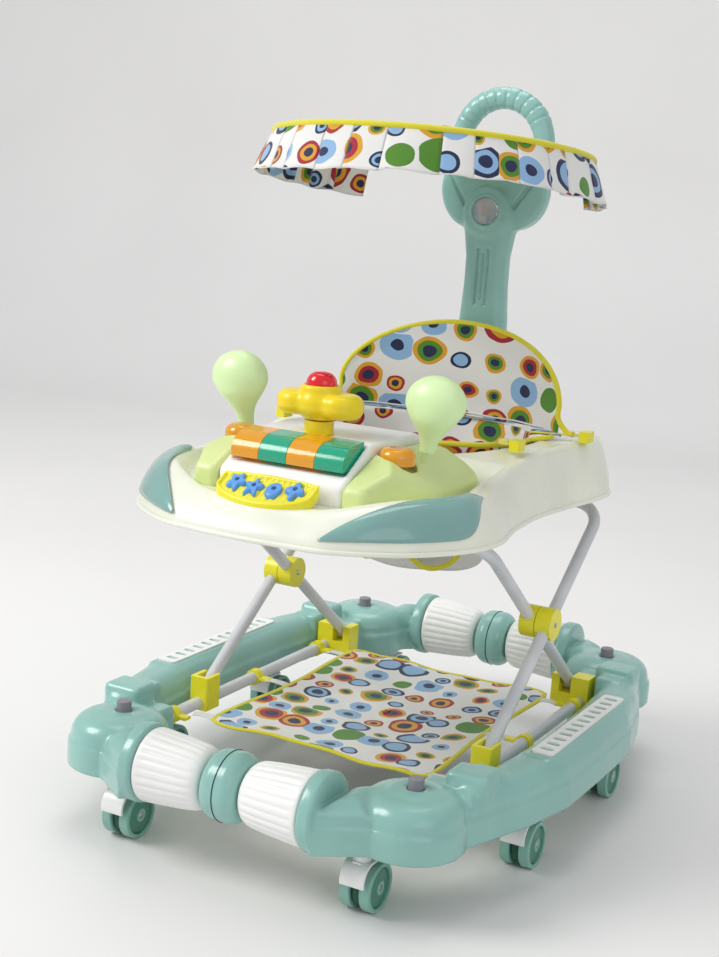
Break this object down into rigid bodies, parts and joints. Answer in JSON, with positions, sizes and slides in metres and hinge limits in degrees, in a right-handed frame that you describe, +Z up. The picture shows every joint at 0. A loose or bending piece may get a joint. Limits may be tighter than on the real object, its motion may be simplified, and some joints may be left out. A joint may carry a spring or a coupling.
{
  "type": "baby walker",
  "caption": "Baby walker on a wheeled ring base with a height-adjusting scissor frame, activity tray, sling seat, push handle and tilting sun canopy.",
  "frame": {"origin": "centre of the overall footprint, on the floor", "axes": "+Z up; -Y is the walker's front, the child faces -Y; +X is the child's left"},
  "size_m": [0.6228, 0.838, 0.931],
  "materials": {
    "sage_plastic": "glossy moulded polypropylene",
    "dark_green_plastic": "satin",
    "wheel_plastic": "satin moulded",
    "white_plastic": "satin moulded",
    "ivory_plastic": "glossy moulded",
    "insert_plastic": "glossy moulded",
    "yellow_plastic": "glossy moulded",
    "wheel_yellow_plastic": "glossy moulded",
    "lime_plastic": "satin moulded",
    "panel_lime_plastic": "satin moulded",
    "orange_clear": "translucent glossy",
    "teal_clear": "translucent glossy",
    "red_clear": "translucent glossy",
    "grey_rubber": "matt",
    "white_tube": "powder coated",
    "printed_fabric": "woven, printed with rings of colour",
    "lens": "clear"
  },
  "bodies": {
    "base": {"base_left_shell": "sage_plastic", "base_right_shell": "sage_plastic", "cross_tubes": "white_tube", "hub_shells": "sage_plastic", "side_rails": "white_tube", "tread_strips": "white_plastic", "footrest_mat": "printed_fabric", "mat_clips": "yellow_plastic", "rear_leg_brackets": "yellow_plastic"},
    "drum_front_left": {"drum_front_left": "white_plastic"},
    "stopper_front_left": {"stopper_front_left": "grey_rubber"},
    "drum_front_right": {"drum_front_right": "white_plastic"},
    "stopper_front_right": {"stopper_front_right": "grey_rubber"},
    "drum_rear_left": {"drum_rear_left": "white_plastic"},
    "stopper_rear_left": {"stopper_rear_left": "grey_rubber"},
    "drum_rear_right": {"drum_rear_right": "white_plastic"},
    "stopper_rear_right": {"stopper_rear_right": "grey_rubber"},
    "caster_front_left": {"caster_front_left": "white_plastic"},
    "wheels_front_left": {"wheels_front_left": "wheel_plastic"},
    "caster_front_right": {"caster_front_right": "white_plastic"},
    "wheels_front_right": {"wheels_front_right": "wheel_plastic"},
    "caster_side_front_left": {"caster_side_front_left": "white_plastic"},
    "wheels_side_front_left": {"wheels_side_front_left": "wheel_plastic"},
    "caster_side_front_right": {"caster_side_front_right": "white_plastic"},
    "wheels_side_front_right": {"wheels_side_front_right": "wheel_plastic"},
    "caster_side_rear_left": {"caster_side_rear_left": "white_plastic"},
    "wheels_side_rear_left": {"wheels_side_rear_left": "wheel_plastic"},
    "caster_side_rear_right": {"caster_side_rear_right": "white_plastic"},
    "wheels_side_rear_right": {"wheels_side_rear_right": "wheel_plastic"},
    "caster_rear_left": {"caster_rear_left": "white_plastic"},
    "wheels_rear_left": {"wheels_rear_left": "wheel_plastic"},
    "caster_rear_right": {"caster_rear_right": "white_plastic"},
    "wheels_rear_right": {"wheels_rear_right": "wheel_plastic"},
    "inner_legs": {"inner_leg_frame": "white_tube", "inner_hub_pucks": "yellow_plastic"},
    "outer_legs": {"outer_leg_frame": "white_tube", "outer_hub_pucks": "yellow_plastic"},
    "sliders": {"front_sliders": "yellow_plastic"},
    "tray": {"tray_shell": "ivory_plastic", "tray_inserts": "insert_plastic", "name_plate": "yellow_plastic", "console_body": "white_plastic", "console_panels": "panel_lime_plastic", "steering_column": "wheel_yellow_plastic", "seat": "printed_fabric", "seat_clips": "yellow_plastic", "handle_shells": "sage_plastic", "handle_lens": "lens"},
    "piano_key_1": {"piano_key_1": "orange_clear"},
    "piano_key_2": {"piano_key_2": "teal_clear"},
    "piano_key_3": {"piano_key_3": "orange_clear"},
    "piano_key_4": {"piano_key_4": "teal_clear"},
    "dome_button_left": {"dome_button_left": "orange_clear"},
    "toy_mirror_left": {"toy_mirror_left": "lime_plastic"},
    "dome_button_right": {"dome_button_right": "orange_clear"},
    "toy_mirror_right": {"toy_mirror_right": "lime_plastic"},
    "steering_wheel": {"steering_wheel": "wheel_yellow_plastic"},
    "horn_button": {"horn_button": "red_clear"},
    "canopy": {"canopy_hoop": "yellow_plastic", "canopy_fabric": "printed_fabric"}
  },
  "joints": [
    {"name": "drum_front_left_spin", "type": "hinge", "parent": "base", "child": "drum_front_left", "pos_m": [-0.068, -0.372, 0.112], "axis": [1, 0, 0], "continuous": true},
    {"name": "stopper_front_left_lift", "type": "slide", "parent": "base", "child": "stopper_front_left", "axis": [0, 0, 1], "range_m": [0, 0.03]},
    {"name": "drum_front_right_spin", "type": "hinge", "parent": "base", "child": "drum_front_right", "pos_m": [0.068, -0.372, 0.112], "axis": [1, 0, 0], "continuous": true},
    {"name": "stopper_front_right_lift", "type": "slide", "parent": "base", "child": "stopper_front_right", "axis": [0, 0, 1], "range_m": [0, 0.03]},
    {"name": "drum_rear_left_spin", "type": "hinge", "parent": "base", "child": "drum_rear_left", "pos_m": [-0.068, 0.372, 0.112], "axis": [1, 0, 0], "continuous": true},
    {"name": "stopper_rear_left_lift", "type": "slide", "parent": "base", "child": "stopper_rear_left", "axis": [0, 0, 1], "range_m": [0, 0.03]},
    {"name": "drum_rear_right_spin", "type": "hinge", "parent": "base", "child": "drum_rear_right", "pos_m": [0.068, 0.372, 0.112], "axis": [1, 0, 0], "continuous": true},
    {"name": "stopper_rear_right_lift", "type": "slide", "parent": "base", "child": "stopper_rear_right", "axis": [0, 0, 1], "range_m": [0, 0.03]},
    {"name": "caster_front_left_swivel", "type": "hinge", "parent": "base", "child": "caster_front_left", "pos_m": [-0.163, -0.354, 0.08], "axis": [0, 0, 1], "continuous": true},
    {"name": "wheels_front_left_roll", "type": "hinge", "parent": "caster_front_left", "child": "wheels_front_left", "pos_m": [-0.163, -0.342, 0.0285], "axis": [1, 0, 0], "continuous": true},
    {"name": "caster_front_right_swivel", "type": "hinge", "parent": "base", "child": "caster_front_right", "pos_m": [0.163, -0.354, 0.08], "axis": [0, 0, 1], "continuous": true},
    {"name": "wheels_front_right_roll", "type": "hinge", "parent": "caster_front_right", "child": "wheels_front_right", "pos_m": [0.163, -0.342, 0.0285], "axis": [1, 0, 0], "continuous": true},
    {"name": "caster_side_front_left_swivel", "type": "hinge", "parent": "base", "child": "caster_side_front_left", "pos_m": [-0.262, -0.141, 0.08], "axis": [0, 0, 1], "continuous": true},
    {"name": "wheels_side_front_left_roll", "type": "hinge", "parent": "caster_side_front_left", "child": "wheels_side_front_left", "pos_m": [-0.262, -0.129, 0.0285], "axis": [1, 0, 0], "continuous": true},
    {"name": "caster_side_front_right_swivel", "type": "hinge", "parent": "base", "child": "caster_side_front_right", "pos_m": [0.262, -0.141, 0.08], "axis": [0, 0, 1], "continuous": true},
    {"name": "wheels_side_front_right_roll", "type": "hinge", "parent": "caster_side_front_right", "child": "wheels_side_front_right", "pos_m": [0.262, -0.129, 0.0285], "axis": [1, 0, 0], "continuous": true},
    {"name": "caster_side_rear_left_swivel", "type": "hinge", "parent": "base", "child": "caster_side_rear_left", "pos_m": [-0.262, 0.129, 0.08], "axis": [0, 0, 1], "continuous": true},
    {"name": "wheels_side_rear_left_roll", "type": "hinge", "parent": "caster_side_rear_left", "child": "wheels_side_rear_left", "pos_m": [-0.262, 0.141, 0.0285], "axis": [1, 0, 0], "continuous": true},
    {"name": "caster_side_rear_right_swivel", "type": "hinge", "parent": "base", "child": "caster_side_rear_right", "pos_m": [0.262, 0.129, 0.08], "axis": [0, 0, 1], "continuous": true},
    {"name": "wheels_side_rear_right_roll", "type": "hinge", "parent": "caster_side_rear_right", "child": "wheels_side_rear_right", "pos_m": [0.262, 0.141, 0.0285], "axis": [1, 0, 0], "continuous": true},
    {"name": "caster_rear_left_swivel", "type": "hinge", "parent": "base", "child": "caster_rear_left", "pos_m": [-0.163, 0.338, 0.08], "axis": [0, 0, 1], "continuous": true},
    {"name": "wheels_rear_left_roll", "type": "hinge", "parent": "caster_rear_left", "child": "wheels_rear_left", "pos_m": [-0.163, 0.35, 0.0285], "axis": [1, 0, 0], "continuous": true},
    {"name": "caster_rear_right_swivel", "type": "hinge", "parent": "base", "child": "caster_rear_right", "pos_m": [0.163, 0.338, 0.08], "axis": [0, 0, 1], "continuous": true},
    {"name": "wheels_rear_right_roll", "type": "hinge", "parent": "caster_rear_right", "child": "wheels_rear_right", "pos_m": [0.163, 0.35, 0.0285], "axis": [1, 0, 0], "continuous": true},
    {"name": "fold", "type": "hinge", "parent": "base", "child": "inner_legs", "pos_m": [0, 0.216, 0.12], "axis": [1, 0, 0], "range_deg": [-12, 12]},
    {"name": "scissor_hub", "type": "hinge", "parent": "inner_legs", "child": "outer_legs", "pos_m": [0, 0.045, 0.249], "axis": [1, 0, 0], "range_deg": [-24.5, 24.5]},
    {"name": "tray_level", "type": "hinge", "parent": "outer_legs", "child": "tray", "pos_m": [0, 0.216, 0.378], "axis": [1, 0, 0], "range_deg": [-12.3, 12.3]},
    {"name": "slider_tilt", "type": "hinge", "parent": "outer_legs", "child": "sliders", "pos_m": [0, -0.126, 0.12], "axis": [1, 0, 0], "range_deg": [-12.3, 12.3]},
    {"name": "piano_key_1_press", "type": "slide", "parent": "tray", "child": "piano_key_1", "axis": [0, 0, -1], "range_m": [0, 0.004], "stiffness_N_per_m": 400},
    {"name": "piano_key_2_press", "type": "slide", "parent": "tray", "child": "piano_key_2", "axis": [0, 0, -1], "range_m": [0, 0.004], "stiffness_N_per_m": 400},
    {"name": "piano_key_3_press", "type": "slide", "parent": "tray", "child": "piano_key_3", "axis": [0, 0, -1], "range_m": [0, 0.004], "stiffness_N_per_m": 400},
    {"name": "piano_key_4_press", "type": "slide", "parent": "tray", "child": "piano_key_4", "axis": [0, 0, -1], "range_m": [0, 0.004], "stiffness_N_per_m": 400},
    {"name": "dome_button_left_press", "type": "slide", "parent": "tray", "child": "dome_button_left", "axis": [0, 0, -1], "range_m": [0, 0.004], "stiffness_N_per_m": 300},
    {"name": "toy_mirror_left_turn", "type": "hinge", "parent": "tray", "child": "toy_mirror_left", "pos_m": [-0.123, -0.184, 0.49], "axis": [0, 0, 1], "range_deg": [-90, 90]},
    {"name": "dome_button_right_press", "type": "slide", "parent": "tray", "child": "dome_button_right", "axis": [0, 0, -1], "range_m": [0, 0.004], "stiffness_N_per_m": 300},
    {"name": "toy_mirror_right_turn", "type": "hinge", "parent": "tray", "child": "toy_mirror_right", "pos_m": [0.123, -0.184, 0.49], "axis": [0, 0, 1], "range_deg": [-90, 90]},
    {"name": "steer", "type": "hinge", "parent": "tray", "child": "steering_wheel", "pos_m": [0, -0.222, 0.52], "axis": [0, 0, 1], "range_deg": [-60, 60]},
    {"name": "horn_press", "type": "slide", "parent": "steering_wheel", "child": "horn_button", "axis": [0, 0, -1], "range_m": [0, 0.004], "stiffness_N_per_m": 300},
    {"name": "canopy_tilt", "type": "hinge", "parent": "tray", "child": "canopy", "pos_m": [0, 0.222, 0.826], "axis": [1, 0, 0], "range_deg": [-45, 0]}
  ],
  "couplings": [
    {"joint": "scissor_hub", "follows": "fold", "ratio": -2},
    {"joint": "tray_level", "follows": "fold", "ratio": 1},
    {"joint": "slider_tilt", "follows": "fold", "ratio": 1}
  ]
}
